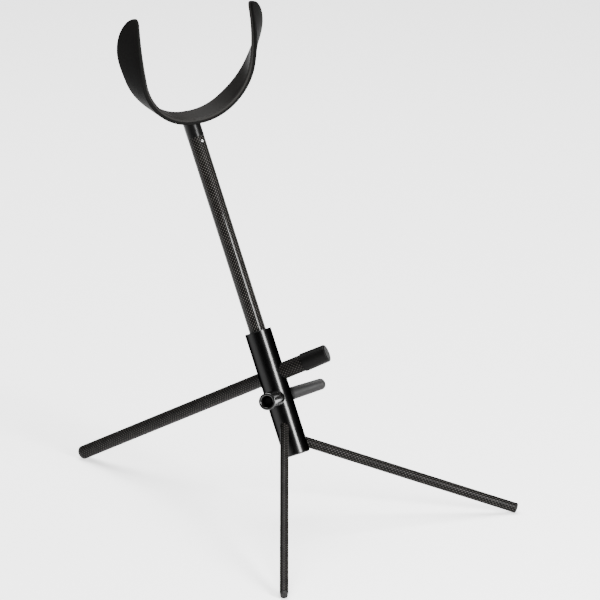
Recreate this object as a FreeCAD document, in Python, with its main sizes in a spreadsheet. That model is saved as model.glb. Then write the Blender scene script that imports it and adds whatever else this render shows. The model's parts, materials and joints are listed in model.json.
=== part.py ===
import FreeCAD, Part
import Sketcher
import math
import os

# Saxophone stand in carbon tube, standing on three legs. Millimetres, +Z up.
# The origin is on the floor, under the middle of the stand's outline.
# X runs across the stand, and the bell rest faces -Y. The post leans back, towards +Y.
#
# The hub frame has its origin at the middle of the hub's lower end, its Z along the post,
# its X along the stand's X, and its Y away from the front. A height up the post is a Z there.

Vector = FreeCAD.Vector

DRIVING_SIZES = [
    ("post_lean", 24.4, "lean of the post from the vertical, degrees"),
    ("hub_rise", 77.2, "height of the hub's lower end above the floor"),
    ("hub_setback", 84.0, "distance of the hub's lower end in front of the origin"),
    ("hub_radius", 14.4, "outer radius of the hub tube"),
    ("hub_wall", 2.0, "wall of the hub tube"),
    ("hub_length", 136.0, "length of the hub tube"),
    ("edge_break", 0.4, "small chamfer on turned and cut edges"),
    ("fit_gap", 0.05, "radial gap of a sliding or turning fit"),
    ("plug_depth", 5.0, "depth of the plug in the hub's lower end"),
    ("plug_lip", 1.2, "thickness of the plug's lip below the hub"),
    ("plug_bevel", 0.8, "bevel round the plug's lip"),
    ("core_top", 97.0, "height of the solid core inside the hub"),
    ("branch_height", 86.8, "height on the post of the front stub's and rear leg's axes"),
    ("rear_droop", 3.3, "angle of the rear leg below the post's normal plane, degrees"),
    ("stub_spread", 31.0, "angle of the front stub from the front, degrees"),
    ("stub_rise", 4.4, "angle of the front stub above the post's normal plane, degrees"),
    ("stub_radius", 9.0, "outer radius of the front stub"),
    ("stub_bore", 7.7, "inner radius of the front stub"),
    ("stub_start", 5.5, "distance from the post's axis to the front stub's root"),
    ("stub_reach", 65.5, "distance from the post's axis to the front cap's end"),
    ("cap_length", 28.5, "length of the front cap"),
    ("cap_floor", 4.0, "thickness of the front cap's end"),
    ("cap_root_radius", 9.95, "radius of the front cap at its mouth"),
    ("cap_end_radius", 9.5, "radius of the front cap at its end"),
    ("cap_round", 1.4, "bevel round the front cap's end"),
    ("cap_mouth_bevel", 0.6, "bevel round the front cap's mouth"),
    ("rear_radius", 7.5, "outer radius of the rear leg"),
    ("rear_bore", 5.7, "inner radius of the rear leg"),
    ("rear_start", 1.0, "distance from the post's axis to the rear leg's root"),
    ("left_height", 41.7, "height on the post where the left leg's axis crosses the lean plane"),
    ("left_setback", 0.7, "distance behind the post's axis where the left leg's axis crosses"),
    ("left_spread", 59.5, "angle of the left leg from the front, degrees"),
    ("left_drop", 38.8, "angle of the left leg below the post's normal plane, degrees"),
    ("left_start", 2.5, "distance from the lean plane to the left leg's root, along the leg"),
    ("right_height", 22.6, "height on the post where the right leg's axis crosses the lean plane"),
    ("right_setback", 9.4, "distance behind the post's axis where the right leg's axis crosses"),
    ("right_spread", 57.2, "angle of the right leg from the front, degrees"),
    ("right_drop", 34.8, "angle of the right leg below the post's normal plane, degrees"),
    ("right_start", 8.5, "distance from the lean plane to the right leg's root, along the leg"),
    ("left_radius", 4.5, "outer radius of the left leg"),
    ("left_bore", 3.7, "inner radius of the left leg"),
    ("right_radius", 5.5, "outer radius of the right leg"),
    ("right_bore", 4.6, "inner radius of the right leg"),
    ("insert_length", 12.0, "length of the plug in the root of each leg"),
    ("foot_spigot", 10.0, "length of a foot's spigot inside its leg"),
    ("left_foot_radius", 4.0, "radius of the left foot's end"),
    ("left_foot_length", 4.0, "length of the left foot below its tube"),
    ("right_foot_radius", 5.6, "radius of the right foot's end"),
    ("right_foot_length", 2.0, "length of the right foot below its tube"),
    ("rear_foot_radius", 7.5, "radius of the rear foot's end"),
    ("rear_foot_length", 5.0, "length of the rear foot below its tube"),
    ("rear_foot_bevel", 1.8, "bevel round the rear foot's end"),
    ("foot_bevel", 0.6, "bevel round a front foot's end"),
    ("peg_height", 62.2, "height on the post of the two pegs"),
    ("peg_spread", 59.0, "angle of each peg from the front, degrees"),
    ("peg_reach", 52.7, "distance from the post's axis to a peg's end"),
    ("peg_overlap", 4.0, "length of a peg's parts that is cut away to fit round the hub"),
    ("pin_radius", 3.0, "radius of the steel pin in each peg"),
    ("pin_start", 4.5, "distance from the post's axis to a pin's root"),
    ("pin_end", 44.0, "distance from the post's axis to a pin's end"),
    ("finger_root_radius", 7.0, "radius of a soft finger beside the hub"),
    ("finger_end_radius", 6.0, "radius of a soft finger near its end"),
    ("finger_round", 3.0, "length of the rounding at a soft finger's end"),
    ("sleeve_radius", 9.1, "outer radius of the sleeve on the left peg"),
    ("sleeve_mouth", 6.3, "radius of the sleeve's open mouth"),
    ("sleeve_mouth_depth", 7.0, "depth of the sleeve's open mouth"),
    ("sleeve_bevel", 0.8, "bevel round the sleeve's end"),
    ("sleeve_mouth_bevel", 0.5, "bevel round the sleeve's mouth and its floor"),
    ("finger_sink", 0.8, "distance of the left finger's end below the floor of the sleeve's mouth"),
    ("bush_foot", 98.0, "height on the post of the bush's lower end"),
    ("bush_floor", 3.5, "thickness of the bush's stop ring"),
    ("bush_recess", 1.0, "distance of the bush's top below the hub's rim"),
    ("bush_throat", 6.5, "radius of the hole in the bush's stop ring"),
    ("bush_bevel", 0.6, "bevel round the bush's top"),
    ("ring_groove", 1.9, "width and depth of a groove in the bush"),
    ("ring_radius", 0.8, "section radius of a bush ring"),
    ("ring_low", 105.0, "height on the post of the lower bush ring"),
    ("ring_high", 128.0, "height on the post of the upper bush ring"),
    ("keeper_height", 116.5, "height on the post of the bush's keeper screw"),
    ("keeper_radius", 2.0, "radius of the bush's keeper screw"),
    ("keeper_groove", 4.6, "width of the groove that the keeper screw runs in"),
    ("keeper_gap", 0.3, "gap between the keeper screw's end and the groove's floor"),
    ("keeper_sink", 0.4, "distance of the keeper screw's head below the hub's outside"),
    ("keeper_socket_radius", 1.15, "corner radius of the keeper screw's socket"),
    ("keeper_socket_depth", 1.6, "depth of the keeper screw's socket"),
    ("upper_radius", 9.0, "outer radius of the upper tube"),
    ("upper_bore", 7.7, "inner radius of the upper tube"),
    ("upper_top", 351.5, "height on the post of the upper tube's end"),
    ("collar_radius", 9.2, "outer radius of the yoke collar"),
    ("collar_spigot", 30.0, "length of the collar's spigot inside the upper tube"),
    ("collar_rise", 12.0, "height of the collar's blank above the band's underside"),
    ("collar_bevel", 0.2, "bevel round the collar's foot"),
    ("spigot_bevel", 0.6, "bevel round the foot of the collar's spigot"),
    ("pin_drop", 5.4, "distance of the collar pin below the upper tube's end"),
    ("collar_pin_radius", 1.5, "radius of the collar pin"),
    ("collar_pin_dome", 0.9, "height of the collar pin's rounded head"),
    ("yoke_height", 370.7, "height on the post of the middle of the band's underside"),
    ("post_turn", 7.8, "angle that the upper tube is turned to the left, degrees"),
    ("yoke_tilt", 29.1, "forward tilt of the yoke on the post, degrees"),
    ("yoke_turn", 12.5, "angle that the yoke is turned to the left on its seat, degrees"),
    ("washer_radius", 8.0, "radius of the washer under the band"),
    ("washer_height", 0.8, "thickness of the washer under the band"),
    ("seat_gap", 0.3, "gap between the band and the collar's parts"),
    ("screw_radius", 2.0, "radius of the seat screw's shank"),
    ("screw_length", 10.0, "length of the seat screw below the collar's seat"),
    ("screw_head_radius", 4.0, "radius of the seat screw's head"),
    ("screw_head_height", 1.2, "thickness of the seat screw's head"),
    ("screw_head_sink", 0.3, "depth of the seat screw's head in the band"),
    ("band_thickness", 3.5, "thickness of the yoke's rigid band"),
    ("lining_thickness", 3.0, "thickness of the yoke's soft lining"),
    ("band_width", 28.4, "width of the yoke's band"),
    ("yoke_radius", 60.8, "inner radius of the round part of the yoke"),
    ("round_angle", 79.7, "angle that each half of the round part turns through, degrees"),
    ("arm_radius", 265.0, "inner radius of the yoke's arms"),
    ("arm_length", 153.0, "length of each half of the yoke along its inner side"),
    ("tip_length", 50.0, "length of the rounding at the back of each arm's tip"),
    ("tip_corner", 3.0, "width of the rounding at the front of each arm's tip"),
    ("tip_corner_length", 7.0, "length of the rounding at the front of each arm's tip"),
    ("twist_angle", 53.3, "turn of the band's width at the tips, degrees"),
    ("twist_start", 38.5, "distance from the middle where the band starts to twist"),
    ("twist_end", 158.0, "distance from the middle where the band has its full twist"),
    ("front_bulge", 18.5, "distance of the front edge from the middle at its furthest"),
    ("front_tip", 5.5, "distance of the front edge from the middle at the tips"),
    ("front_fall_power", 1.6, "power of the front edge's fall beyond its furthest place"),
    ("bulge_place", 85.0, "distance along the band where the front edge is furthest"),
]


class Size:
    """A number together with the spreadsheet expression that gives it."""

    def __init__(self, number, text):
        self.number = number
        self.text = text

    def __add__(self, other):
        other = as_size(other)
        return Size(self.number + other.number, f"({self.text} + {other.text})")

    def __sub__(self, other):
        other = as_size(other)
        return Size(self.number - other.number, f"({self.text} - {other.text})")

    def __mul__(self, factor):
        return Size(self.number * factor, f"({self.text} * {factor})")


def as_size(value):
    if isinstance(value, Size):
        return value
    return Size(float(value), str(value))


doc = FreeCAD.newDocument("SaxophoneStand")
sheet = doc.addObject("Spreadsheet::Sheet", "Sizes")
size_values = {}


def add_size(alias, number, note):
    """Put one size in the next row of the sheet."""
    row = len(size_values) + 1
    sheet.set(f"A{row}", alias)
    sheet.set(f"B{row}", str(round(number, 6)))
    sheet.set(f"C{row}", note)
    sheet.setAlias(f"B{row}", alias)
    size_values[alias] = round(number, 6)


def size(alias):
    return Size(size_values[alias], f"Sizes.{alias}")


def number(alias):
    return size_values[alias]


def radians(alias):
    return math.radians(number(alias))


for alias, driving_value, note in DRIVING_SIZES:
    add_size(alias, driving_value, note)

ZERO = as_size(0)
CUTTER_CLEARANCE = 4
CUTTER_LENGTH = 50

# A round edge is drawn as two bevels, with corners at these shares of its size.
ROUND_SIDE = 0.3
ROUND_RISE = 0.4
ROUND_TOP = 0.9

# ---------------------------------------------------------------------------
# Frames and directions
# ---------------------------------------------------------------------------

hub_frame = FreeCAD.Placement(
    Vector(0, -number("hub_setback"), number("hub_rise")),
    FreeCAD.Rotation(Vector(1, 0, 0), -number("post_lean")),
)


def along(origin, direction, up=Vector(0, 0, 1)):
    """A placement with its Z along direction and its Y as near up as that allows."""
    return FreeCAD.Placement(origin, FreeCAD.Rotation(up.cross(direction), up, direction, "ZYX"))


def from_front(angle, drop):
    """A direction in the hub frame, turned from the front towards +X and dropped below it."""
    return Vector(
        math.cos(drop) * math.sin(angle),
        -math.cos(drop) * math.cos(angle),
        -math.sin(drop),
    )


branch_origin = Vector(0, 0, number("branch_height"))
rear_local = along(branch_origin, from_front(0, -radians("rear_droop")) * -1)
rear_frame = hub_frame * rear_local
stub_local = along(branch_origin, from_front(radians("stub_spread"), -radians("stub_rise")))
stub_frame = hub_frame * stub_local

SIDES = {"left": -1, "right": 1}


def leg_local(side):
    crossing = Vector(0, number(f"{side}_setback"), number(f"{side}_height"))
    direction = from_front(SIDES[side] * radians(f"{side}_spread"), radians(f"{side}_drop"))
    return along(crossing, direction)


def peg_local(side):
    return along(
        Vector(0, 0, number("peg_height")),
        from_front(SIDES[side] * radians("peg_spread"), 0),
    )


turned_frame = hub_frame * FreeCAD.Placement(
    Vector(0, 0, 0), FreeCAD.Rotation(Vector(0, 0, 1), -number("post_turn"))
)
seat_frame = (
    turned_frame
    * FreeCAD.Placement(Vector(0, 0, number("yoke_height")), FreeCAD.Rotation())
    * FreeCAD.Placement(Vector(0, 0, 0), FreeCAD.Rotation(Vector(1, 0, 0), number("yoke_tilt")))
)
yoke_frame = seat_frame * FreeCAD.Placement(
    Vector(0, 0, 0), FreeCAD.Rotation(Vector(0, 0, 1), -number("yoke_turn"))
)


def leg_length(frame, radius, bevel):
    """Length along a sloping leg at which its bevelled end just meets the floor."""
    direction = frame.Rotation.multVec(Vector(0, 0, 1))
    sine = -direction.z
    cosine = math.sqrt(1 - sine * sine)
    end_height = radius * cosine - bevel * sine
    return (frame.Base.z - end_height) / sine


for side in SIDES:
    foot_radius = number(f"{side}_foot_radius")
    length = leg_length(hub_frame * leg_local(side), foot_radius, number("foot_bevel"))
    add_size(f"{side}_reach", length, f"distance along the {side} leg's axis to its end")
rear_length = leg_length(rear_frame, number("rear_foot_radius"), number("rear_foot_bevel"))
add_size("rear_reach", rear_length, "distance from the post's axis to the rear leg's end")
doc.recompute()

# ---------------------------------------------------------------------------
# Ways of making a piece
# ---------------------------------------------------------------------------

pieces = []


def keep(piece, label, placement):
    """Name a finished sub-part, put it in its place and list it for export."""
    piece.Label = label
    piece.Placement = placement
    pieces.append(piece)


def place_corner(sketch, index, x, y, name):
    """Fix one corner of a sketch at x, y, with each distance bound to the sheet."""
    origin = (-1, 1)
    for kind, coordinate, axis in (("DistanceX", x, -2), ("DistanceY", y, -1)):
        if coordinate.number == 0:
            sketch.addConstraint(Sketcher.Constraint("PointOnObject", index, 1, axis))
            continue
        sketch.addConstraint(Sketcher.Constraint(kind, *origin, index, 1, coordinate.number))
        row = sketch.ConstraintCount - 1
        sketch.renameConstraint(row, f"{name}_{kind[-1].lower()}")
        sketch.setExpression(f"Constraints[{row}]", coordinate.text)


def turned(name, outline):
    """A body turned about its own Z, from an outline of (radius, height) corners."""
    body = doc.addObject("PartDesign::Body", name)
    sketch = body.newObject("Sketcher::SketchObject", f"{name}_outline")
    plane = [item for item in body.Origin.OriginFeatures if item.Role == "XZ_Plane"][0]
    sketch.AttachmentSupport = [(plane, "")]
    sketch.MapMode = "FlatFace"
    corners = [Vector(radius.number, height.number, 0) for radius, height in outline]
    count = len(corners)
    for index in range(count):
        sketch.addGeometry(Part.LineSegment(corners[index], corners[(index + 1) % count]), False)
    for index in range(count):
        sketch.addConstraint(Sketcher.Constraint("Coincident", index, 2, (index + 1) % count, 1))
    for index, (radius, height) in enumerate(outline):
        place_corner(sketch, index, radius, height, f"corner{index}")
    revolution = body.newObject("PartDesign::Revolution", f"{name}_turned")
    revolution.Profile = sketch
    revolution.ReferenceAxis = (sketch, ["V_Axis"])
    revolution.Angle = 360.0
    sketch.Visibility = False
    return body


def rounded_end(radius, end, edge):
    """Corners of a rod's outside where it rounds over to its end."""
    return [
        (radius, end - edge),
        (radius - edge * ROUND_SIDE, end - edge * ROUND_RISE),
        (radius - edge * ROUND_TOP, end),
    ]


def bevelled_rod(radius, low, high, bevel_low, bevel_high):
    """Outline of a solid rod with bevelled ends."""
    return [
        (ZERO, low),
        (radius - bevel_low, low),
        (radius, low + bevel_low),
        (radius, high - bevel_high),
        (radius - bevel_high, high),
        (ZERO, high),
    ]


def bevelled_tube(outer, inner, low, high, bevel):
    """Outline of a tube with its outer edges broken."""
    return [
        (inner, low),
        (outer - bevel, low),
        (outer, low + bevel),
        (outer, high - bevel),
        (outer - bevel, high),
        (inner, high),
    ]


def cylinder(name, radius, low, high, placement):
    """A cylinder for cutting, between two heights along its placement's Z."""
    tool = doc.addObject("Part::Cylinder", name)
    tool.setExpression("Radius", radius.text)
    tool.setExpression("Height", (high - low).text)
    tool.Placement = placement * FreeCAD.Placement(Vector(0, 0, low.number), FreeCAD.Rotation())
    return tool


def cut(name, base, tools):
    """The base with every tool taken away."""
    tool = tools[0]
    if len(tools) > 1:
        tool = doc.addObject("Part::MultiFuse", f"{name}_tools")
        tool.Shapes = tools
    result = doc.addObject("Part::Cut", name)
    result.Base = base
    result.Tool = tool
    return result


# ---------------------------------------------------------------------------
# Hub: the outer tube, its core and its lower plug
# ---------------------------------------------------------------------------

hub_inner = size("hub_radius") - size("hub_wall")
past_hub = size("hub_radius") + CUTTER_CLEARANCE
keeper_local = along(Vector(0, 0, number("keeper_height")), Vector(0, 1, 0))


def leg_bore(owner, side):
    radius = size(f"{side}_radius") + size("fit_gap")
    name = f"{owner}_{side}_leg_bore"
    return cylinder(name, radius, size(f"{side}_start"), as_size(CUTTER_LENGTH), leg_local(side))


def rear_bore(owner, start):
    radius = size("rear_radius") + size("fit_gap")
    return cylinder(f"{owner}_rear_leg_bore", radius, start, past_hub, rear_local)


def stub_bore(owner, start):
    return cylinder(f"{owner}_stub_bore", size("stub_radius"), start, past_hub, stub_local)


def peg_bore(owner, side):
    return cylinder(
        f"{owner}_{side}_peg_bore", size("pin_radius"), size("pin_start"), past_hub, peg_local(side)
    )


def make_hub():
    tube = turned(
        "hub_blank",
        bevelled_tube(size("hub_radius"), hub_inner, ZERO, size("hub_length"), size("edge_break")),
    )
    tools = [
        stub_bore("hub", ZERO),
        rear_bore("hub", ZERO),
        cylinder("hub_keeper_hole", size("keeper_radius"), ZERO, past_hub, keeper_local),
    ]
    tools += [leg_bore("hub", side) for side in SIDES]
    tools += [peg_bore("hub", side) for side in SIDES]
    keep(cut("hub_tube", tube, tools), "body_tube", hub_frame)

    core = turned(
        "core_blank",
        bevelled_rod(hub_inner, size("plug_depth"), size("core_top"), size("edge_break"), size("edge_break")),
    )
    tools = [stub_bore("core", size("stub_start")), rear_bore("core", size("rear_start"))]
    tools += [leg_bore("core", side) for side in SIDES]
    tools += [peg_bore("core", side) for side in SIDES]
    keep(cut("core_piece", core, tools), "hub_core", hub_frame)

    lip_radius = size("hub_radius") - size("edge_break")
    low = ZERO - size("plug_lip")
    plug_outline = [
        (ZERO, low),
        (lip_radius - size("plug_bevel"), low),
        (lip_radius, low + size("plug_bevel")),
        (lip_radius, ZERO),
        (hub_inner, ZERO),
        (hub_inner, size("plug_depth")),
        (ZERO, size("plug_depth")),
    ]
    plug = turned("plug_blank", plug_outline)
    keep(cut("plug_piece", plug, [leg_bore("plug", "right")]), "bottom_plug", hub_frame)


# ---------------------------------------------------------------------------
# Front stub and its cap
# ---------------------------------------------------------------------------

def make_stub():
    tube_end = size("stub_reach") - size("cap_floor")
    radius = size("stub_radius")
    tube = turned(
        "stub_piece",
        bevelled_tube(radius, size("stub_bore"), size("stub_start"), tube_end, size("edge_break")),
    )
    keep(tube, "front_stub", stub_frame)

    mouth = size("stub_reach") - size("cap_length")
    cap_outline = [
        (radius, mouth),
        (size("cap_root_radius") - size("cap_mouth_bevel"), mouth),
        (size("cap_root_radius"), mouth + size("cap_mouth_bevel")),
        (size("cap_end_radius"), size("stub_reach") - size("cap_round")),
        (size("cap_end_radius") - size("cap_round"), size("stub_reach")),
        (ZERO, size("stub_reach")),
        (ZERO, tube_end),
        (radius, tube_end),
    ]
    keep(turned("cap_piece", cap_outline), "front_cap", stub_frame)


# ---------------------------------------------------------------------------
# Legs: tube, root insert and foot, each along its own axis
# ---------------------------------------------------------------------------

def make_leg(leg, frame, root, foot_bevel):
    outer = size(f"{leg}_radius")
    inner = size(f"{leg}_bore")
    foot_radius = size(f"{leg}_foot_radius")
    end = size(f"{leg}_reach")
    tube_end = end - size(f"{leg}_foot_length")
    tube = turned(f"{leg}_tube", bevelled_tube(outer, inner, root, tube_end, size("edge_break")))
    keep(tube, f"{leg}_leg", frame)

    insert = turned(
        f"{leg}_insert",
        bevelled_rod(inner, root, root + size("insert_length"), size("edge_break"), size("edge_break")),
    )
    keep(insert, f"{leg}_leg_insert", frame)

    foot_outline = [
        (ZERO, tube_end - size("foot_spigot")),
        (inner, tube_end - size("foot_spigot")),
        (inner, tube_end),
        (foot_radius, tube_end),
        (foot_radius, end - foot_bevel),
        (foot_radius - foot_bevel, end),
        (ZERO, end),
    ]
    keep(turned(f"{leg}_foot_piece", foot_outline), f"{leg}_foot", frame)


# ---------------------------------------------------------------------------
# Pegs: a steel pin with a soft finger, and a sleeve on the left one
# ---------------------------------------------------------------------------

def hub_saddle(name):
    """The hub's round outside, in a peg's own frame, for cutting a peg's root to fit it."""
    across = FreeCAD.Placement(Vector(0, 0, 0), FreeCAD.Rotation(Vector(1, 0, 0), -90))
    reach = as_size(CUTTER_LENGTH)
    return cylinder(name, size("hub_radius") + size("fit_gap"), ZERO - reach, reach, across)


def make_peg(side, finger_end):
    frame = hub_frame * peg_local(side)
    pin = turned(
        f"{side}_pin",
        bevelled_rod(
            size("pin_radius"), size("pin_start"), size("pin_end"), size("edge_break"), size("edge_break")
        ),
    )
    keep(pin, f"{side}_peg_pin", frame)

    root = size("hub_radius") - size("peg_overlap")
    finger_outline = [
        (size("pin_radius"), root),
        (size("finger_root_radius"), root),
        *rounded_end(size("finger_end_radius"), finger_end, size("finger_round")),
        (ZERO, finger_end),
        (ZERO, size("pin_end")),
        (size("pin_radius"), size("pin_end")),
    ]
    finger = turned(f"{side}_finger_blank", finger_outline)
    piece = cut(f"{side}_finger_piece", finger, [hub_saddle(f"{side}_finger_saddle")])
    keep(piece, f"{side}_finger", frame)


def make_sleeve():
    root = size("hub_radius") - size("peg_overlap")
    mouth_floor = size("peg_reach") - size("sleeve_mouth_depth")
    bore = size("finger_root_radius")
    outline = [
        (bore, root),
        (size("sleeve_radius"), root),
        (size("sleeve_radius"), size("peg_reach") - size("sleeve_bevel")),
        (size("sleeve_radius") - size("sleeve_bevel"), size("peg_reach")),
        (size("sleeve_mouth") + size("sleeve_mouth_bevel"), size("peg_reach")),
        (size("sleeve_mouth"), size("peg_reach") - size("sleeve_mouth_bevel")),
        (size("sleeve_mouth"), mouth_floor),
        (bore, mouth_floor - size("sleeve_mouth_bevel")),
    ]
    blank = turned("sleeve_blank", outline)
    sleeve = cut("sleeve_piece", blank, [hub_saddle("sleeve_saddle")])
    keep(sleeve, "left_sleeve", hub_frame * peg_local("left"))


# ---------------------------------------------------------------------------
# Bush that lets the post turn in the hub, its rings and its keeper screw
# ---------------------------------------------------------------------------

bush_outer = hub_inner - size("fit_gap")
groove_floor = bush_outer - size("ring_groove")
GROOVES = (("ring_low", "ring_groove"), ("keeper_height", "keeper_groove"), ("ring_high", "ring_groove"))


def make_bush():
    inner = size("upper_radius") + size("fit_gap")
    foot = size("bush_foot")
    top = size("hub_length") - size("bush_recess")
    outline = [(size("bush_throat"), foot), (bush_outer, foot)]
    for place, width in GROOVES:
        half = size(width) * 0.5
        outline.append((bush_outer, size(place) - half))
        outline.append((groove_floor, size(place) - half))
        outline.append((groove_floor, size(place) + half))
        outline.append((bush_outer, size(place) + half))
    outline += [
        (bush_outer, top - size("bush_bevel")),
        (bush_outer - size("bush_bevel"), top),
        (inner, top),
        (inner, foot + size("bush_floor")),
        (size("bush_throat"), foot + size("bush_floor")),
    ]
    keep(turned("bush_piece", outline), "post_bush", hub_frame)

    rings = []
    for place in ("ring_low", "ring_high"):
        ring = doc.addObject("Part::Torus", f"bush_{place}")
        ring.setExpression("Radius1", (groove_floor + size("fit_gap") + size("ring_radius")).text)
        ring.setExpression("Radius2", size("ring_radius").text)
        ring.Placement = FreeCAD.Placement(Vector(0, 0, number(place)), FreeCAD.Rotation())
        rings.append(ring)
    pair = doc.addObject("Part::Compound", "bush_ring_pair")
    pair.Links = rings
    keep(pair, "bush_rings", hub_frame)

    keeper = turned(
        "keeper_piece",
        bevelled_rod(
            size("keeper_radius"),
            groove_floor + size("keeper_gap"),
            size("hub_radius") - size("keeper_sink"),
            size("edge_break"),
            size("edge_break"),
        ),
    )
    socket = doc.addObject("Part::Prism", "keeper_socket")
    socket.Polygon = 6
    socket.setExpression("Circumradius", size("keeper_socket_radius").text)
    socket.setExpression("Height", (size("keeper_socket_depth") + size("keeper_sink")).text)
    socket_floor = number("hub_radius") - number("keeper_sink") - number("keeper_socket_depth")
    socket.Placement = FreeCAD.Placement(Vector(0, 0, socket_floor), FreeCAD.Rotation())
    keep(cut("keeper_screw", keeper, [socket]), "keeper_screw", hub_frame * keeper_local)


# ---------------------------------------------------------------------------
# Upper tube, yoke collar, pin, washer and seat screw
# ---------------------------------------------------------------------------

def make_upper_tube():
    stop = size("bush_foot") + size("bush_floor")
    blank = turned(
        "upper_blank",
        bevelled_tube(size("upper_radius"), size("upper_bore"), stop, size("upper_top"), size("edge_break")),
    )
    keep(cut("upper_piece", blank, [pin_hole("upper_pin_hole")]), "upper_tube", turned_frame)


pin_local = along(Vector(0, 0, number("upper_top") - number("pin_drop")), Vector(0, -1, 0))


def pin_hole(name):
    past_tube = size("upper_radius") + CUTTER_CLEARANCE
    return cylinder(name, size("collar_pin_radius"), ZERO, past_tube, pin_local)


def make_collar():
    """The collar's head is cut off square to the yoke, so that the yoke tilts forward."""
    top = size("yoke_height") + size("collar_rise")
    spigot_foot = size("upper_top") - size("collar_spigot")
    outline = [
        (ZERO, spigot_foot),
        (size("upper_bore") - size("spigot_bevel"), spigot_foot),
        (size("upper_bore"), spigot_foot + size("spigot_bevel")),
        (size("upper_bore"), size("upper_top")),
        (size("collar_radius") - size("collar_bevel"), size("upper_top")),
        (size("collar_radius"), size("upper_top") + size("collar_bevel")),
        (size("collar_radius"), top),
        (ZERO, top),
    ]
    blank = turned("collar_blank", outline)
    seat_drop = number("seat_gap") + number("washer_height")
    seat_local = (
        FreeCAD.Placement(Vector(0, 0, number("yoke_height")), FreeCAD.Rotation())
        * FreeCAD.Placement(Vector(0, 0, 0), FreeCAD.Rotation(Vector(1, 0, 0), number("yoke_tilt")))
        * FreeCAD.Placement(Vector(0, 0, -seat_drop), FreeCAD.Rotation())
    )
    above = cylinder("collar_above", size("collar_radius") * 3, ZERO, as_size(CUTTER_LENGTH), seat_local)
    screw_hole = cylinder(
        "collar_screw_hole", size("screw_radius"), ZERO - size("screw_length"), size("seat_gap"), seat_local
    )
    tools = [above, screw_hole, pin_hole("collar_pin_hole")]
    keep(cut("collar_piece", blank, tools), "yoke_collar", turned_frame)

    pin_top = size("upper_radius") + size("collar_pin_dome")
    pin = turned(
        "pin_piece",
        [
            (ZERO, ZERO),
            (size("collar_pin_radius"), ZERO),
            *rounded_end(size("collar_pin_radius"), pin_top, size("collar_pin_dome")),
            (ZERO, pin_top),
        ],
    )
    keep(pin, "collar_pin", turned_frame * pin_local)

    washer_low = ZERO - size("seat_gap") - size("washer_height")
    washer = turned(
        "washer_piece",
        [
            (size("screw_radius") + size("fit_gap"), washer_low),
            (size("washer_radius"), washer_low),
            (size("washer_radius"), ZERO - size("seat_gap")),
            (size("screw_radius") + size("fit_gap"), ZERO - size("seat_gap")),
        ],
    )
    keep(washer, "seat_washer", seat_frame)

    head_low = size("band_thickness") - size("screw_head_sink")
    head_top = head_low + size("screw_head_height")
    screw = turned(
        "screw_piece",
        [
            (ZERO, washer_low - size("screw_length")),
            (size("screw_radius"), washer_low - size("screw_length")),
            (size("screw_radius"), head_low),
            (size("screw_head_radius"), head_low),
            (size("screw_head_radius"), head_top - size("edge_break")),
            (size("screw_head_radius") - size("edge_break"), head_top),
            (ZERO, head_top),
        ],
    )
    keep(screw, "seat_screw", seat_frame)


# ---------------------------------------------------------------------------
# Yoke: a band bent to a U, whose width twists outwards along its arms
# ---------------------------------------------------------------------------

def smooth_step(value):
    value = min(max(value, 0.0), 1.0)
    return value * value * (3 - 2 * value)


def front_edge(run):
    """How far the front edge stands in front of the yoke's middle, at a distance along it."""
    place = number("bulge_place")
    if run < place:
        middle = number("band_width") / 2
        return number("front_bulge") - (number("front_bulge") - middle) * (1 - run / place) ** 2
    share = (run - place) / (number("arm_length") - place)
    fall = number("front_bulge") - number("front_tip")
    return number("front_bulge") - fall * share ** number("front_fall_power")


def yoke_curve(distance):
    """Point on the U's inner side and its slope angle, at a distance along it."""
    run = abs(distance)
    round_angle = radians("round_angle")
    round_length = number("yoke_radius") * round_angle
    if run < round_length:
        angle = run / number("yoke_radius")
        across = number("yoke_radius") * math.sin(angle)
        up = number("yoke_radius") * (1 - math.cos(angle))
    else:
        angle = round_angle + (run - round_length) / number("arm_radius")
        gap = number("yoke_radius") - number("arm_radius")
        across = gap * math.sin(round_angle) + number("arm_radius") * math.sin(angle)
        up = number("yoke_radius") - gap * math.cos(round_angle) - number("arm_radius") * math.cos(angle)
    return math.copysign(across, distance), up, angle


def yoke_point(distance, width, depth):
    """A point at a distance along the U, a width behind its front edge and a depth outside."""
    across, up, angle = yoke_curve(distance)
    run = abs(distance)
    side = math.copysign(1, distance)
    twist_span = number("twist_end") - number("twist_start")
    twist = radians("twist_angle") * smooth_step((run - number("twist_start")) / twist_span)
    front = front_edge(run)
    out = width * math.sin(twist) + depth * math.cos(twist)
    forward_part = front - width * math.cos(twist) + depth * math.sin(twist)
    full_depth = number("lining_thickness") + number("band_thickness")
    return Vector(
        across + side * math.sin(angle) * out,
        -forward_part,
        full_depth + up - math.cos(angle) * out,
    )


def quarter(share):
    """Height of a quarter circle at a share of its run, from 1 down to 0."""
    share = min(max(share, 0.0), 1.0)
    return math.sqrt(1 - share * share)


def edges_at(distance):
    """Widths at which the band begins and ends there: each arm closes to a round tip."""
    to_tip = number("arm_length") - abs(distance)
    corner = number("tip_corner")
    front = corner * (1 - quarter(1 - to_tip / number("tip_corner_length")))
    back = corner + (number("band_width") - corner) * quarter(1 - to_tip / number("tip_length"))
    return front, back


# The tip's own end is left blunt by this share of the tip's length.
TIP_SHARE = 0.985
PLAIN_STATIONS = 9
TIP_STATIONS = 8


def yoke_stations():
    """Distances along the band at which it is drawn, closer together towards the tips."""
    plain_length = number("arm_length") - number("tip_length")
    half = [plain_length * step / PLAIN_STATIONS for step in range(PLAIN_STATIONS)]
    for step in range(TIP_STATIONS + 1):
        part = math.sin(step / TIP_STATIONS * math.pi / 2)
        half.append(plain_length + number("tip_length") * TIP_SHARE * part)
    return [-station for station in reversed(half[1:])] + half


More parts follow.
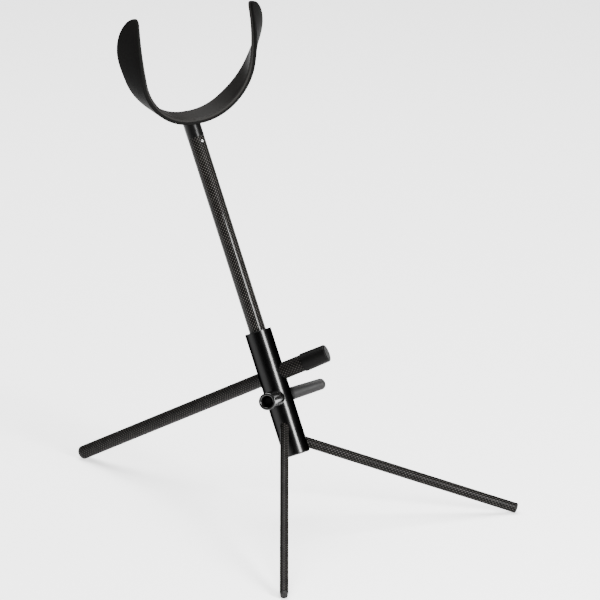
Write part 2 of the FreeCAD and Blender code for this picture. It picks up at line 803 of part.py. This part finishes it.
def yoke_layer(inner_depth, outer_depth):
    """The solid between two depths of the U."""
    wires = []
    for station in yoke_stations():
        front, back = edges_at(station)
        corners = [
            yoke_point(station, front, inner_depth),
            yoke_point(station, front, outer_depth),
            yoke_point(station, back, outer_depth),
            yoke_point(station, back, inner_depth),
        ]
        wires.append(Part.makePolygon(corners + corners[:1]))
    return Part.makeLoft(wires, True, False)


def make_yoke():
    lining_depth = number("lining_thickness")
    full_depth = lining_depth + number("band_thickness")
    band_shape = yoke_layer(lining_depth, full_depth)
    shank_radius = number("screw_radius") + number("fit_gap")
    shank_hole = Part.makeCylinder(shank_radius, CUTTER_LENGTH, Vector(0, 0, -CUTTER_LENGTH / 2))
    head_room = number("screw_head_radius") + number("seat_gap")
    head_low = number("band_thickness") - number("screw_head_sink") - number("fit_gap")
    head_height = number("screw_head_height") + number("seat_gap")
    head_pocket = Part.makeCylinder(head_room, head_height, Vector(0, 0, head_low))
    band = doc.addObject("Part::Feature", "band_piece")
    band.Shape = band_shape.cut(shank_hole).cut(head_pocket)
    keep(band, "yoke_band", yoke_frame)

    lining = doc.addObject("Part::Feature", "lining_piece")
    lining.Shape = yoke_layer(0, lining_depth).cut(head_pocket)
    keep(lining, "yoke_lining", yoke_frame)


# ---------------------------------------------------------------------------
# The whole stand
# ---------------------------------------------------------------------------

make_hub()
make_stub()
for side in SIDES:
    make_leg(side, hub_frame * leg_local(side), size(f"{side}_start"), size("foot_bevel"))
make_leg("rear", rear_frame, size("rear_start"), size("rear_foot_bevel"))
make_peg("left", size("peg_reach") - size("sleeve_mouth_depth") - size("finger_sink"))
make_peg("right", size("peg_reach"))
make_sleeve()
make_bush()
make_upper_tube()
make_collar()
make_yoke()
doc.recompute()

for item in doc.Objects:
    if "Invalid" in item.State or "Error" in item.State:
        raise RuntimeError(f"{item.Label} failed: {item.State}")
for piece in pieces:
    if piece.Shape.isNull() or not piece.Shape.isValid():
        raise RuntimeError(f"{piece.Label} has no valid shape")

os.makedirs("parts", exist_ok=True)
for piece in pieces:
    piece.Shape.exportStep(f"parts/{piece.Label}.step")
    box = piece.Shape.BoundBox
    print(
        f"{piece.Label:18s} solids {len(piece.Shape.Solids)} volume {piece.Shape.Volume:9.0f}"
        f"  x {box.XMin:7.1f} {box.XMax:7.1f}  y {box.YMin:7.1f} {box.YMax:7.1f}"
        f"  z {box.ZMin:7.1f} {box.ZMax:7.1f}"
    )
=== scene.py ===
import json
import math

import bmesh
import bpy
from mathutils import Matrix, Vector


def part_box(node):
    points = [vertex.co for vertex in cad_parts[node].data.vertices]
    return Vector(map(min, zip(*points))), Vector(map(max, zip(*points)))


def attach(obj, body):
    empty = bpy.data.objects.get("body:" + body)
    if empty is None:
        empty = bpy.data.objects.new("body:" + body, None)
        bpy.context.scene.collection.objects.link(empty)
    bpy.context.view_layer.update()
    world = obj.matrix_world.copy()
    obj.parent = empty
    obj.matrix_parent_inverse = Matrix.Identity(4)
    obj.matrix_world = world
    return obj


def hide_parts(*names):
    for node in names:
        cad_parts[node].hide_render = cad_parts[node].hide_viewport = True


# Saxophone stand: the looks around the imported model. Metres, in the model's own frame.

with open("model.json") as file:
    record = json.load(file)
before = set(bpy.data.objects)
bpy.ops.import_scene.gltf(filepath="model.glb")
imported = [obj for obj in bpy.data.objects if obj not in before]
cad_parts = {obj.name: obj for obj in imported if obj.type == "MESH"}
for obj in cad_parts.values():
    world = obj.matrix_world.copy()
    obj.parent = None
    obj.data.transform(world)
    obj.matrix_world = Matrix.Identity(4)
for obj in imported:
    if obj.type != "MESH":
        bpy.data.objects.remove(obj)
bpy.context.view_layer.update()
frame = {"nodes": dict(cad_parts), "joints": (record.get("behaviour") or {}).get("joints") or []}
joints = {joint["name"]: joint for joint in frame["joints"]}

MM = 0.001
UP = Vector((0, 0, 1))
ACROSS = Vector((1, 0, 0))


# ---------------------------------------------------------------------------
# Places and directions, from the model's joints
# ---------------------------------------------------------------------------

def axes(origin, along, toward):
    """A matrix with its Z along one direction and its X as near as possible to another."""
    z = along.normalized()
    y = z.cross(toward).normalized()
    x = y.cross(z)
    matrix = Matrix((x, y, z)).transposed().to_4x4()
    matrix.translation = origin
    return matrix


def middle(node):
    """The middle of a CAD node's box."""
    low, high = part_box(node)
    return (Vector(low) + Vector(high)) / 2


post_axis = Vector(joints["post_turn"]["axis"])
post_point = Vector(joints["post_turn"]["pos_m"])
seat_axis = Vector(joints["yoke_turn"]["axis"])
seat_point = Vector(joints["yoke_turn"]["pos_m"])
leg_axes = {side: Vector(joints[f"{side}_leg_pull"]["axis"]) for side in ("rear", "left", "right")}
leg_middles = {side: middle(f"{side}_leg") for side in leg_axes}
hub_front = ACROSS.cross(post_axis).normalized()

# The front stub is fixed in the hub, so its direction is worked out from the hub's own.
STUB_SPREAD = math.radians(31.0)
STUB_RISE = math.radians(4.4)
stub_level = ACROSS * math.sin(STUB_SPREAD) + hub_front * math.cos(STUB_SPREAD)
stub_axis = stub_level * math.cos(STUB_RISE) + post_axis * math.sin(STUB_RISE)


# ---------------------------------------------------------------------------
# Material building
# ---------------------------------------------------------------------------

class Shader:
    """One node material with a Principled surface, and short ways to add nodes to it."""

    def __init__(self, name, **sockets):
        self.material = bpy.data.materials.new(name)
        self.material.use_nodes = True
        self.tree = self.material.node_tree
        self.surface = self.tree.nodes["Principled BSDF"]
        for socket, value in sockets.items():
            self.surface.inputs[socket.replace("_", " ")].default_value = value

    def node(self, kind, inputs=(), **settings):
        node = self.tree.nodes.new(kind)
        for setting, value in settings.items():
            setattr(node, setting, value)
        for index, value in enumerate(inputs):
            self.feed(node.inputs[index], value)
        return node

    def feed(self, socket, value):
        if isinstance(value, bpy.types.NodeSocket):
            self.tree.links.new(value, socket)
        elif value is not None:
            socket.default_value = value

    def calc(self, operation, *values):
        return self.node("ShaderNodeMath", values, operation=operation).outputs[0]

    def vector(self, operation, *values):
        node = self.node("ShaderNodeVectorMath", values, operation=operation)
        return node.outputs["Value" if operation == "DOT_PRODUCT" else "Vector"]

    def place(self):
        return self.node("ShaderNodeTexCoord").outputs["Object"]

    def noise(self, coordinates, scale, detail=2.0, roughness=0.5):
        node = self.node("ShaderNodeTexNoise")
        self.feed(node.inputs["Vector"], coordinates)
        node.inputs["Scale"].default_value = scale
        node.inputs["Detail"].default_value = detail
        node.inputs["Roughness"].default_value = roughness
        return node.outputs["Fac"]

    def ramp(self, value, low, high, to_low, to_high):
        """The value's stretch from low to high, spread over another stretch."""
        node = self.node("ShaderNodeMapRange", (value, low, high, to_low, to_high))
        return node.outputs[0]

    def mix(self, share, first, second):
        node = self.node("ShaderNodeMix", data_type="RGBA")
        self.feed(node.inputs["Factor"], share)
        self.feed(node.inputs["A"], first)
        self.feed(node.inputs["B"], second)
        return node.outputs["Result"]

    def set(self, socket, value):
        self.feed(self.surface.inputs[socket], value)

    def bump(self, height, distance, strength=1.0):
        node = self.node("ShaderNodeBump")
        node.inputs["Strength"].default_value = strength
        node.inputs["Distance"].default_value = distance
        self.feed(node.inputs["Height"], height)
        self.set("Normal", node.outputs["Normal"])


def grey(level, warm=0.0):
    """A near-neutral colour, a little warmer where warm is above 0."""
    return (level * (1 + warm), level, level * (1 - warm), 1)


# ---------------------------------------------------------------------------
# Materials
# ---------------------------------------------------------------------------

STRANDS_IN_TOW = 9.0
PATCH_SCALE = 120.0
TOW_RELIEF = 0.03 * MM


def carbon(name, point, axis, radius, tow, ground, dot, **sockets):
    """Carbon cloth wound on a tube: a plain weave of flat tows, under resin.

    ground is the tone of the dark tows and gaps, dot that of the painted highlight on the
    back of a weft tow, lightest at its crown.
    """
    shader = Shader(name, **sockets)
    turn = axes(point, axis, UP)
    offset = shader.vector("SUBTRACT", shader.place(), tuple(point))
    along = shader.vector("DOT_PRODUCT", offset, tuple(turn.col[2].xyz))
    across = shader.vector("DOT_PRODUCT", offset, tuple(turn.col[0].xyz))
    aside = shader.vector("DOT_PRODUCT", offset, tuple(turn.col[1].xyz))
    count = 2 * round(math.pi * radius / tow)
    column = shader.calc("MULTIPLY", shader.calc("ARCTAN2", across, aside), count / (2 * math.pi))
    row = shader.calc("DIVIDE", along, tow)

    def crown(value):
        """Height of a tow's rounded back, across it or along one of its floats."""
        return shader.calc("SINE", shader.calc("MULTIPLY", shader.calc("FRACT", value), math.pi))

    cell = shader.calc("ADD", shader.calc("FLOOR", column), shader.calc("FLOOR", row))
    weft_on_top = shader.calc("LESS_THAN", shader.calc("FLOORED_MODULO", cell, 2.0), 0.5)
    pillow = shader.calc("MULTIPLY", crown(column), crown(row))
    strand_place = (shader.calc("MULTIPLY", column, STRANDS_IN_TOW), row, 0.0)
    strands = shader.noise(shader.node("ShaderNodeCombineXYZ", strand_place).outputs[0], 2.0)
    patches = shader.noise(offset, PATCH_SCALE, 3.0)
    warp_colour = shader.mix(strands, grey(ground * 0.6, 0.06), grey(ground * 1.4, 0.06))
    # Painted highlight: the weft tows' backs are lightened towards their crowns, while the warp tows stay
    # dark.
    bright = shader.calc("MULTIPLY", pillow, pillow)
    lit = shader.calc("MULTIPLY", bright, shader.ramp(patches, 0.35, 0.65, 0.7, 1.2))
    weft_painted_highlight = shader.mix(lit, grey(ground, 0.06), grey(dot, 0.08))
    shader.set("Base Color", shader.mix(weft_on_top, warp_colour, weft_painted_highlight))
    shader.bump(pillow, TOW_RELIEF, 0.5)
    return shader.material


def black_anodised(name, axis):
    """Turned tube, dyed black: glossy, with very fine turning lines."""
    shader = Shader(name, Metallic=1.0, Specular_Tint=(0.2, 0.2, 0.2, 1))
    place = shader.place()
    along = shader.vector("DOT_PRODUCT", place, tuple(axis))
    lines = shader.noise(shader.node("ShaderNodeCombineXYZ", (0.0, 0.0, along)).outputs[0], 2600.0, 3.0, 0.6)
    cloud = shader.noise(place, 45.0, 3.0)
    shader.set("Base Color", shader.mix(cloud, grey(0.014), grey(0.018)))
    shader.set("Roughness", shader.ramp(cloud, 0.3, 0.7, 0.20, 0.26))
    shader.bump(lines, 0.001 * MM, 0.3)
    return shader.material


def soft_black(name, tones, roughness, specular, grain_size, grain_depth, warm=0.03):
    """Moulded soft black: satin, with a fine grain and faint handling marks."""
    low, high = tones
    shader = Shader(name, Specular_IOR_Level=specular)
    place = shader.place()
    cloud = shader.noise(place, 38.0, 4.0)
    grain = shader.noise(place, 1 / grain_size, 2.0, 0.6)
    shader.set("Base Color", shader.mix(cloud, grey(low, warm), grey(high, warm)))
    shader.set("Roughness", shader.ramp(cloud, 0.3, 0.7, roughness - 0.04, roughness + 0.05))
    shader.bump(grain, grain_depth, 0.5)
    return shader.material


def soft_grey(name):
    """Matte grey silicone: soft, slightly dusty, lighter at its edges."""
    shader = Shader(
        name, Sheen_Weight=0.04, Sheen_Roughness=0.5, Specular_IOR_Level=0.15, Sheen_Tint=(0.8, 0.8, 0.8, 1)
    )
    place = shader.place()
    cloud = shader.noise(place, 90.0, 4.0)
    grain = shader.noise(place, 3500.0)
    shader.set("Base Color", shader.mix(cloud, grey(0.006), grey(0.009)))
    shader.set("Roughness", shader.ramp(cloud, 0.3, 0.7, 0.5, 0.62))
    shader.bump(grain, 0.02 * MM, 0.5)
    return shader.material


def turned_steel(name, axis, level, roughness):
    """Bright turned metal with fine rings round its axis."""
    shader = Shader(name, Metallic=1.0)
    place = shader.place()
    flat = shader.vector("CROSS_PRODUCT", place, tuple(axis))
    rings = shader.noise(flat, 4000.0, 2.0)
    shader.set("Base Color", shader.mix(rings, grey(level * 0.85), grey(level)))
    shader.set("Roughness", shader.ramp(rings, 0.3, 0.7, roughness - 0.05, roughness + 0.06))
    shader.bump(rings, 0.004 * MM, 0.5)
    return shader.material


def dress(node, material):
    """Give a CAD node a material."""
    slots = frame["nodes"][node].data.materials
    slots.clear()
    slots.append(material)


UPPER_RADIUS = 9.0 * MM
STUB_RADIUS = 9.0 * MM
LEG_RADII = {"rear": 7.5 * MM, "left": 4.5 * MM, "right": 5.5 * MM}
UPPER_TOW = 1.75 * MM
LEG_TOW = 1.9 * MM

hub_black = black_anodised("hub_anodised", post_axis)
plug_black = soft_black(
    "plug_black", (0.005, 0.009), roughness=0.50, specular=0.15, grain_size=0.5 * MM, grain_depth=0.02 * MM
)
collar_black = soft_black(
    "collar_black",
    (0.001, 0.003),
    roughness=0.26,
    specular=0.16,
    grain_size=0.6 * MM,
    grain_depth=0.002 * MM,
)
cap_black = soft_black(
    "cap_black", (0.001, 0.002), roughness=0.45, specular=0.05, grain_size=0.35 * MM, grain_depth=0.02 * MM
)
foot_black = soft_black(
    "foot_black", (0.006, 0.012), roughness=0.55, specular=0.1, grain_size=0.4 * MM, grain_depth=0.03 * MM
)
shell_black = soft_black(
    "shell_black",
    (0.002, 0.003),
    roughness=0.56,
    specular=0.02,
    grain_size=0.4 * MM,
    grain_depth=0.010 * MM,
    warm=0.04,
)
pad_black = soft_black(
    "pad_black",
    (0.006, 0.009),
    roughness=0.52,
    specular=0.06,
    grain_size=0.4 * MM,
    grain_depth=0.012 * MM,
    warm=0.06,
)
sleeve_black = soft_black(
    "sleeve_black",
    (0.002, 0.004),
    roughness=0.16,
    specular=0.5,
    grain_size=0.6 * MM,
    grain_depth=0.003 * MM,
)
finger_grey = soft_grey("finger_grey")
pin_steel = turned_steel("pin_steel", post_axis, level=0.75, roughness=0.25)
screw_dark = turned_steel("screw_dark", post_axis, level=0.05, roughness=0.35)
alloy = turned_steel("alloy", post_axis, level=0.6, roughness=0.35)

GLOSS = {
    "Roughness": 0.45,
    "Specular_IOR_Level": 0.03,
    "Coat_Weight": 0.19,
    "Coat_Roughness": 0.06,
    "Coat_IOR": 1.4,
}
SATIN = {"Roughness": 0.55, "Specular_IOR_Level": 0.03, "Coat_Weight": 0.03, "Coat_Roughness": 0.25}
upper_carbon = carbon(
    "upper_carbon", post_point, post_axis, UPPER_RADIUS, UPPER_TOW, ground=0.001, dot=0.062, **GLOSS
)
stub_carbon = carbon(
    "stub_carbon", middle("front_stub"), stub_axis, STUB_RADIUS, LEG_TOW, ground=0.001, dot=0.03, **SATIN
)

dress("body_tube", hub_black)
dress("bottom_plug", plug_black)
dress("upper_tube", upper_carbon)
dress("front_stub", stub_carbon)
dress("yoke_collar", collar_black)
dress("post_bush", plug_black)
dress("keeper_screw", screw_dark)
dress("collar_pin", pin_steel)
dress("seat_screw", pin_steel)
dress("left_peg_pin", pin_steel)
dress("right_peg_pin", pin_steel)
dress("hub_core", alloy)
# The left finger is the same grey silicone as the right one. Giving it the cap's black is painted shade deep
# in the sleeve's mouth.
dress("left_finger", cap_black)
dress("bush_rings", foot_black)
dress("seat_washer", foot_black)
for side in leg_axes:
    leg_carbon = carbon(
        f"{side}_carbon",
        leg_middles[side],
        leg_axes[side],
        LEG_RADII[side],
        LEG_TOW,
        ground=0.001,
        dot=0.045,
        **SATIN,
    )
    dress(f"{side}_leg", leg_carbon)
    dress(f"{side}_leg_insert", alloy)


# ---------------------------------------------------------------------------
# Turned pieces with rounded edges, which stand for the plainer CAD ones
# ---------------------------------------------------------------------------

HUB_RADIUS = 14.45 * MM
TURNS = 96
ROUND_STEPS = 6
MERGE_DISTANCE = 0.002 * MM
SPIGOT_LENGTH = 10 * MM
SPIGOT_ROUND = 0.5 * MM
FOOT_LIP_ROUND = 0.3 * MM


def rounded(corners):
    """A closed outline from (radius, height, rounding) corners, each rounded by its own amount."""
    points = []
    for index, (radius, height, rounding) in enumerate(corners):
        here = Vector((radius, height))
        if rounding == 0:
            points.append(here)
            continue
        before = (Vector(corners[index - 1][:2]) - here).normalized()
        after = (Vector(corners[(index + 1) % len(corners)][:2]) - here).normalized()
        half = before.angle(after) / 2
        centre = here + (before + after).normalized() * rounding / math.sin(half)
        start = here + before * rounding / math.tan(half) - centre
        end = here + after * rounding / math.tan(half) - centre
        turn = math.atan2(start.x * end.y - start.y * end.x, start.dot(end))
        for step in range(ROUND_STEPS + 1):
            points.append(centre + Matrix.Rotation(turn * step / ROUND_STEPS, 2) @ start)
    return points


def finish_mesh(name, body, material, node, solid):
    """Turn a bmesh into a smooth piece that rides a body and stands for a CAD node."""
    bmesh.ops.remove_doubles(solid, verts=solid.verts, dist=MERGE_DISTANCE)
    bmesh.ops.recalc_face_normals(solid, faces=solid.faces)
    for face in solid.faces:
        face.smooth = True
    mesh = bpy.data.meshes.new(name)
    solid.to_mesh(mesh)
    solid.free()
    mesh.materials.append(material)
    piece = bpy.data.objects.new(name, mesh)
    bpy.context.scene.collection.objects.link(piece)
    weighted = piece.modifiers.new("weighted", "WEIGHTED_NORMAL")
    weighted.keep_sharp = True
    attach(piece, body)
    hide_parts(node)


def turned_piece(name, place, corners, body, material, node, on_hub=False):
    """A piece turned about the Z of its place. on_hub shapes its root to the hub's outside."""
    solid = bmesh.new()
    rings = []
    for radius, height in rounded(corners):
        ring = []
        for step in range(TURNS):
            angle = 2 * math.pi * step / TURNS
            spot = Vector((radius * math.cos(angle), radius * math.sin(angle), height))
            if on_hub and height < HUB_RADIUS:
                spot.z = math.sqrt(HUB_RADIUS**2 - spot.x**2)
            ring.append(solid.verts.new(place @ spot))
        rings.append(ring)
    for ring, other in zip(rings, rings[1:] + rings[:1]):
        for step in range(TURNS):
            following = (step + 1) % TURNS
            solid.faces.new((ring[step], ring[following], other[following], other[step]))
    finish_mesh(name, body, material, node, solid)


def reach_of(node, point, axis):
    """How far a CAD node reaches from a point in a direction."""
    return max((vertex.co - point).dot(axis) for vertex in frame["nodes"][node].data.vertices)


def turned_foot(side, bore, radius, rounding):
    """A leg's rubber foot, with its spigot inside the tube."""
    axis = leg_axes[side]
    tube_end = reach_of(f"{side}_leg", leg_middles[side], axis)
    length = reach_of(f"{side}_foot", leg_middles[side], axis) - tube_end
    corners = [
        (0, -SPIGOT_LENGTH, 0),
        (bore, -SPIGOT_LENGTH, SPIGOT_ROUND),
        (bore, 0, 0),
        (radius, 0, FOOT_LIP_ROUND),
        (radius, length, rounding),
        (0, length, 0),
    ]
    place = axes(leg_middles[side] + axis * tube_end, axis, UP)
    turned_piece(f"{side}_foot_rubber", place, corners, f"{side}_leg_group", foot_black, f"{side}_foot")


turned_foot("left", bore=3.7 * MM, radius=4.0 * MM, rounding=0.9 * MM)
turned_foot("right", bore=4.6 * MM, radius=5.6 * MM, rounding=0.8 * MM)
turned_foot("rear", bore=5.7 * MM, radius=7.5 * MM, rounding=2.0 * MM)

# Heights up the post are measured from the bush's foot, where the post turns.
BUSH_FOOT = 98.0 * MM
PEG_HEIGHT = 62.2 * MM
PEG_SPREAD = math.radians(59.0)
PEG_REACH = 52.7 * MM
PEG_WAIST = 17 * MM
PIN_RADIUS = 3.0 * MM
PIN_END = 44.0 * MM
FINGER_ROOT = 7.0 * MM
FINGER_WAIST = 6.85 * MM
FINGER_END = 6.0 * MM
FINGER_ROUND = 5.2 * MM
SLEEVE_RADIUS = 9.1 * MM
SLEEVE_MOUTH = 6.3 * MM
SLEEVE_FLOOR = PEG_REACH - 7.0 * MM
STUB_HEIGHT = 86.8 * MM
CAP_REACH = 65.5 * MM
CAP_MOUTH = CAP_REACH - 28.5 * MM
CAP_FLOOR = 4.0 * MM
CAP_ROOT_RADIUS = 9.95 * MM
CAP_END_RADIUS = 9.5 * MM

def peg_place(side):
    direction = ACROSS * side * math.sin(PEG_SPREAD) + hub_front * math.cos(PEG_SPREAD)
    origin = post_point + post_axis * (PEG_HEIGHT - BUSH_FOOT)
    return axes(origin, direction, direction.cross(post_axis))


finger_corners = [
    (PIN_RADIUS, 0, 0),
    (FINGER_ROOT, 0, 0),
    (FINGER_WAIST, PEG_WAIST, 0),
    (FINGER_END, PEG_REACH, FINGER_ROUND),
    (0, PEG_REACH, 0),
    (0, PIN_END, 0),
    (PIN_RADIUS, PIN_END, 0),
    (PIN_RADIUS, PEG_WAIST, 0),
]
turned_piece(
    "right_finger_rubber", peg_place(1), finger_corners, "hub", finger_grey, "right_finger", on_hub=True
)

sleeve_corners = [
    (FINGER_ROOT, 0, 0),
    (SLEEVE_RADIUS, 0, 0),
    (SLEEVE_RADIUS, PEG_WAIST, 0),
    (SLEEVE_RADIUS, PEG_REACH, 1.0 * MM),
    (SLEEVE_MOUTH, PEG_REACH, 0.9 * MM),
    (SLEEVE_MOUTH, SLEEVE_FLOOR, 0.2 * MM),
    (FINGER_ROOT, SLEEVE_FLOOR, 0.2 * MM),
    (FINGER_ROOT, PEG_WAIST, 0),
]
turned_piece(
    "left_sleeve_rubber", peg_place(-1), sleeve_corners, "hub", sleeve_black, "left_sleeve", on_hub=True
)

cap_corners = [
    (STUB_RADIUS, CAP_MOUTH, 0.2 * MM),
    (CAP_ROOT_RADIUS, CAP_MOUTH, 0.5 * MM),
    (CAP_END_RADIUS, CAP_REACH, 1.8 * MM),
    (0, CAP_REACH, 0),
    (0, CAP_REACH - CAP_FLOOR, 0),
    (STUB_RADIUS, CAP_REACH - CAP_FLOOR, 0),
]
stub_place = axes(post_point + post_axis * (STUB_HEIGHT - BUSH_FOOT), stub_axis, ACROSS)
turned_piece("front_cap_rubber", stub_place, cap_corners, "hub", cap_black, "front_cap")


# ---------------------------------------------------------------------------
# Yoke: a rigid shell with a soft pad inside it, both bent to the same U
# ---------------------------------------------------------------------------

YOKE_TURN = math.radians(12.5)
PAD_THICKNESS = 3.0 * MM
SHELL_THICKNESS = 3.5 * MM
BAND_WIDTH = 28.4 * MM
ROUND_RADIUS = 60.8 * MM
ROUND_ANGLE = math.radians(79.7)
ARM_RADIUS = 265 * MM
HALF_LENGTH = 153 * MM
TIP_LENGTH = 50 * MM
TIP_CORNER = 3 * MM
TIP_CORNER_LENGTH = 7 * MM
TWIST = math.radians(53.3)
TWIST_START = 38.5 * MM
TWIST_END = 158 * MM
FRONT_BULGE = 18.5 * MM
FRONT_TIP = 5.5 * MM
FALL_POWER = 1.6
BULGE_PLACE = 85 * MM
AT_TIP = 1e-6

# The seat's front is the direction in which the seat leans off the post.
seat_front = (seat_axis - post_axis * seat_axis.dot(post_axis)).normalized()
seat_across = post_axis.cross(seat_front)
seat = axes(seat_point, seat_axis, seat_across)
yoke = seat @ Matrix.Rotation(-YOKE_TURN, 4, "Z")


def smooth_step(value):
    value = min(max(value, 0.0), 1.0)
    return value * value * (3 - 2 * value)


def front_edge(run):
    """How far the front edge stands in front of the yoke's middle, at a distance along it."""
    if run < BULGE_PLACE:
        return FRONT_BULGE - (FRONT_BULGE - BAND_WIDTH / 2) * (1 - run / BULGE_PLACE) ** 2
    share = (run - BULGE_PLACE) / (HALF_LENGTH - BULGE_PLACE)
    return FRONT_BULGE - (FRONT_BULGE - FRONT_TIP) * share**FALL_POWER


def yoke_curve(distance):
    """Point on the U's inner side and its slope angle, at a distance along it."""
    run = abs(distance)
    round_length = ROUND_RADIUS * ROUND_ANGLE
    if run < round_length:
        angle = run / ROUND_RADIUS
        across = ROUND_RADIUS * math.sin(angle)
        up = ROUND_RADIUS * (1 - math.cos(angle))
    else:
        angle = ROUND_ANGLE + (run - round_length) / ARM_RADIUS
        gap = ROUND_RADIUS - ARM_RADIUS
        across = gap * math.sin(ROUND_ANGLE) + ARM_RADIUS * math.sin(angle)
        up = ROUND_RADIUS - gap * math.cos(ROUND_ANGLE) - ARM_RADIUS * math.cos(angle)
    return math.copysign(across, distance), up, angle


def yoke_point(distance, width, depth):
    """A point at a distance along the U, a width behind its front edge and a depth outside."""
    across, up, angle = yoke_curve(distance)
    run = abs(distance)
    side = math.copysign(1, distance)
    twist = TWIST * smooth_step((run - TWIST_START) / (TWIST_END - TWIST_START))
    out = width * math.sin(twist) + depth * math.cos(twist)
    forward = front_edge(run) - width * math.cos(twist) + depth * math.sin(twist)
    return yoke @ Vector((
        across + side * math.sin(angle) * out,
        -forward,
        PAD_THICKNESS + SHELL_THICKNESS + up - math.cos(angle) * out,
    ))


def edge(run, start, change, length, inward):
    """A place on the band's flat outline, and the direction inwards from it."""
    share = min(max(1 - (HALF_LENGTH - run) / length, 0.0), 1.0)
    height = math.sqrt(1 - share**2)
    if height < AT_TIP:
        return Vector((run, start)), Vector((-1, 0))
    slope = -change * share / (length * height)
    return Vector((run, start + change * height)), Vector((-slope, 1)).normalized() * inward


def rim(low, high, low_round, high_round):
    """The band's rim from its inner to its outer face: (inset, depth) pairs."""
    angles = [step / ROUND_STEPS * math.pi / 2 for step in range(ROUND_STEPS + 1)]
    inner = [(low_round * (1 - math.sin(a)), low + low_round * (1 - math.cos(a))) for a in angles]
    outer = [(high_round * (1 - math.cos(a)), high - high_round * (1 - math.sin(a))) for a in angles]
    return inner + outer


def section(run, rim_points):
    """The band's section at a run: (place on the flat band, depth) pairs round it."""
    front, front_in = edge(run, TIP_CORNER, -TIP_CORNER, TIP_CORNER_LENGTH, 1)
    back, back_in = edge(run, TIP_CORNER, BAND_WIDTH - TIP_CORNER, TIP_LENGTH, -1)
    fronts = [(front + front_in * inset, depth) for inset, depth in rim_points]
    backs = [(back + back_in * inset, depth) for inset, depth in rim_points]
    steps = [step / FACE_STEPS for step in range(1, FACE_STEPS)]
    outer = [(backs[-1][0].lerp(fronts[-1][0], step), rim_points[-1][1]) for step in steps]
    inner = [(fronts[0][0].lerp(backs[0][0], step), rim_points[0][1]) for step in steps]
    return backs + outer + fronts[::-1] + inner


def yoke_layer(name, rim_points, material, node):
    """One layer of the yoke, drawn through its sections from tip to tip."""
    plain = HALF_LENGTH - TIP_LENGTH
    runs = [plain * step / PLAIN_STEPS for step in range(PLAIN_STEPS)]
    runs += [plain + TIP_LENGTH * math.sin(step / TIP_STEPS * math.pi / 2) for step in range(TIP_STEPS + 1)]
    solid = bmesh.new()
    loops = []
    for side, run in [(-1, run) for run in runs[:0:-1]] + [(1, run) for run in runs]:
        spots = [yoke_point(side * flat.x, flat.y, depth) for flat, depth in section(run, rim_points)]
        loops.append([solid.verts.new(spot) for spot in spots])
    for loop, following in zip(loops, loops[1:]):
        for index in range(len(loop)):
            solid.faces.new((loop[index - 1], loop[index], following[index], following[index - 1]))
    finish_mesh(name, "yoke", material, node, solid)


FACE_STEPS = 8
PLAIN_STEPS = 40
TIP_STEPS = 60
EDGE_ROUND = 1.4 * MM
SEAM_ROUND = 0.25 * MM
pad_rim = rim(0, PAD_THICKNESS, EDGE_ROUND, SEAM_ROUND)
shell_rim = rim(PAD_THICKNESS, PAD_THICKNESS + SHELL_THICKNESS, SEAM_ROUND, EDGE_ROUND)
yoke_layer("yoke_pad", pad_rim, pad_black, "yoke_lining")
yoke_layer("yoke_shell", shell_rim, shell_black, "yoke_band")


# ---------------------------------------------------------------------------
# Floor, light and camera
# ---------------------------------------------------------------------------


TARGET = Vector((0.037, -0.0546, 0.2328))
CAMERA_DISTANCE = 5.058
CAMERA_TURN = math.radians(-47.4)
CAMERA_RISE = math.radians(16.49)
FOCAL_LENGTH = 286.3
SENSOR_WIDTH = 36
SIGHT_LIMIT = 200
FLOOR_SIZE = 60
FLOOR_TONE = 0.86
FLOOR_GLOW = 1.1
WORLD_LIGHT = 0.1


def toward(turn, rise):
    """Direction from the stand to something at that turn (0 is in front) and rise."""
    return Vector((math.cos(rise) * math.sin(turn), -math.cos(rise) * math.cos(turn), math.sin(rise)))


def look_at(item, target):
    item.rotation_euler = (target - item.location).to_track_quat("-Z", "Y").to_euler()


def make_floor():
    bpy.ops.mesh.primitive_plane_add(size=FLOOR_SIZE)
    floor = bpy.context.object
    floor.name = "floor"
    shader = Shader("floor_paper", Roughness=0.8, Specular_IOR_Level=0.1)
    shader.surface.inputs["Base Color"].default_value = grey(FLOOR_TONE)
    shader.surface.inputs["Emission Color"].default_value = (1, 1, 1, 1)
    shader.surface.inputs["Emission Strength"].default_value = FLOOR_GLOW
    floor.data.materials.append(shader.material)


def make_light(name, turn, rise, distance, width, height, power):
    data = bpy.data.lights.new(name, "AREA")
    data.shape = "RECTANGLE"
    data.size = width
    data.size_y = height
    data.energy = power
    light = bpy.data.objects.new(name, data)
    light.location = TARGET + toward(turn, rise) * distance
    bpy.context.scene.collection.objects.link(light)
    look_at(light, TARGET)


def make_camera():
    data = bpy.data.cameras.new("camera")
    data.lens = FOCAL_LENGTH
    data.sensor_width = SENSOR_WIDTH
    data.clip_end = SIGHT_LIMIT
    camera = bpy.data.objects.new("camera", data)
    camera.location = TARGET + toward(CAMERA_TURN, CAMERA_RISE) * CAMERA_DISTANCE
    bpy.context.scene.collection.objects.link(camera)
    look_at(camera, TARGET)
    bpy.context.scene.camera = camera


def make_world():
    world = bpy.data.worlds.new("studio")
    world.use_nodes = True
    background = world.node_tree.nodes["Background"]
    background.inputs["Color"].default_value = (1, 1, 1, 1)
    background.inputs["Strength"].default_value = WORLD_LIGHT
    bpy.context.scene.world = world


make_floor()
make_world()
make_light(
    "strip", math.radians(-8), math.radians(16.5), distance=2.4, width=0.5, height=1.0, power=225
)
make_light(
    "top", math.radians(150), math.radians(75), distance=3.5, width=3.0, height=3.0, power=420
)
make_camera()
